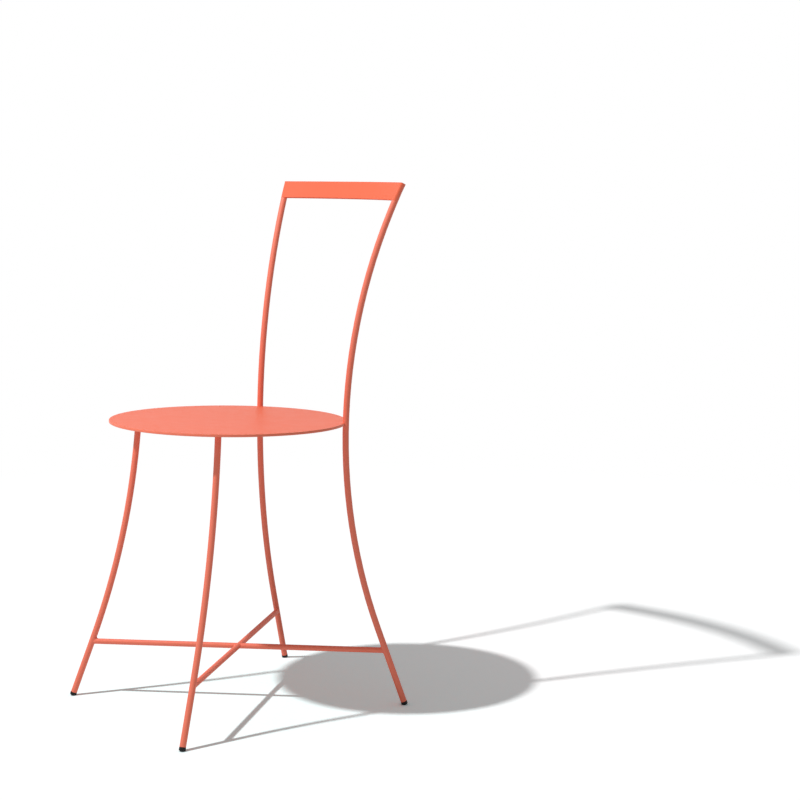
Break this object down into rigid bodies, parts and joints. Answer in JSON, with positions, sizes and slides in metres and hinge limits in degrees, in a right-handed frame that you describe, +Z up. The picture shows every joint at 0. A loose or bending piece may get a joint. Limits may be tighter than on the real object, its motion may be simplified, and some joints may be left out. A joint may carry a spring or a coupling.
{
  "type": "steel rod chair",
  "caption": "Side chair welded from bent steel rod, with a round plate seat, splayed bowed legs, crossing stretchers and a narrow curved flat rail as its back, powder coated, on plastic glides.",
  "frame": {"origin": "on the floor, at the middle of the chair's width and depth", "axes": "+Z up, -Y the front of the seat, +Y the back rail, +X to the right of someone looking at the chair's front"},
  "size_m": [0.375, 0.4463, 0.833],
  "materials": {
    "coral_powder_coat": "satin coral powder coat over steel, with a fine even grain",
    "black_glide_plastic": "moulded black plastic, scuffed matt where it meets the floor"
  },
  "bodies": {
    "root": {"seat_plate": "coral_powder_coat", "back_rail": "coral_powder_coat", "stretcher_through": "coral_powder_coat", "stretcher_half_front": "coral_powder_coat", "stretcher_half_back": "coral_powder_coat", "front_leg_left": "coral_powder_coat", "front_leg_right": "coral_powder_coat", "back_leg_left": "coral_powder_coat", "back_leg_right": "coral_powder_coat", "weld_crossing_front": "coral_powder_coat", "weld_crossing_back": "coral_powder_coat", "weld_front_leg_left": "coral_powder_coat", "weld_front_leg_right": "coral_powder_coat", "weld_back_leg_left": "coral_powder_coat", "weld_back_leg_right": "coral_powder_coat", "weld_rail_left": "coral_powder_coat", "weld_rail_right": "coral_powder_coat", "weld_stretcher_front_left": "coral_powder_coat", "weld_stretcher_front_right": "coral_powder_coat", "weld_stretcher_back_left": "coral_powder_coat", "weld_stretcher_back_right": "coral_powder_coat", "glide_front_left": "black_glide_plastic", "glide_front_right": "black_glide_plastic", "glide_back_left": "black_glide_plastic", "glide_back_right": "black_glide_plastic"}
  },
  "joints": []
}
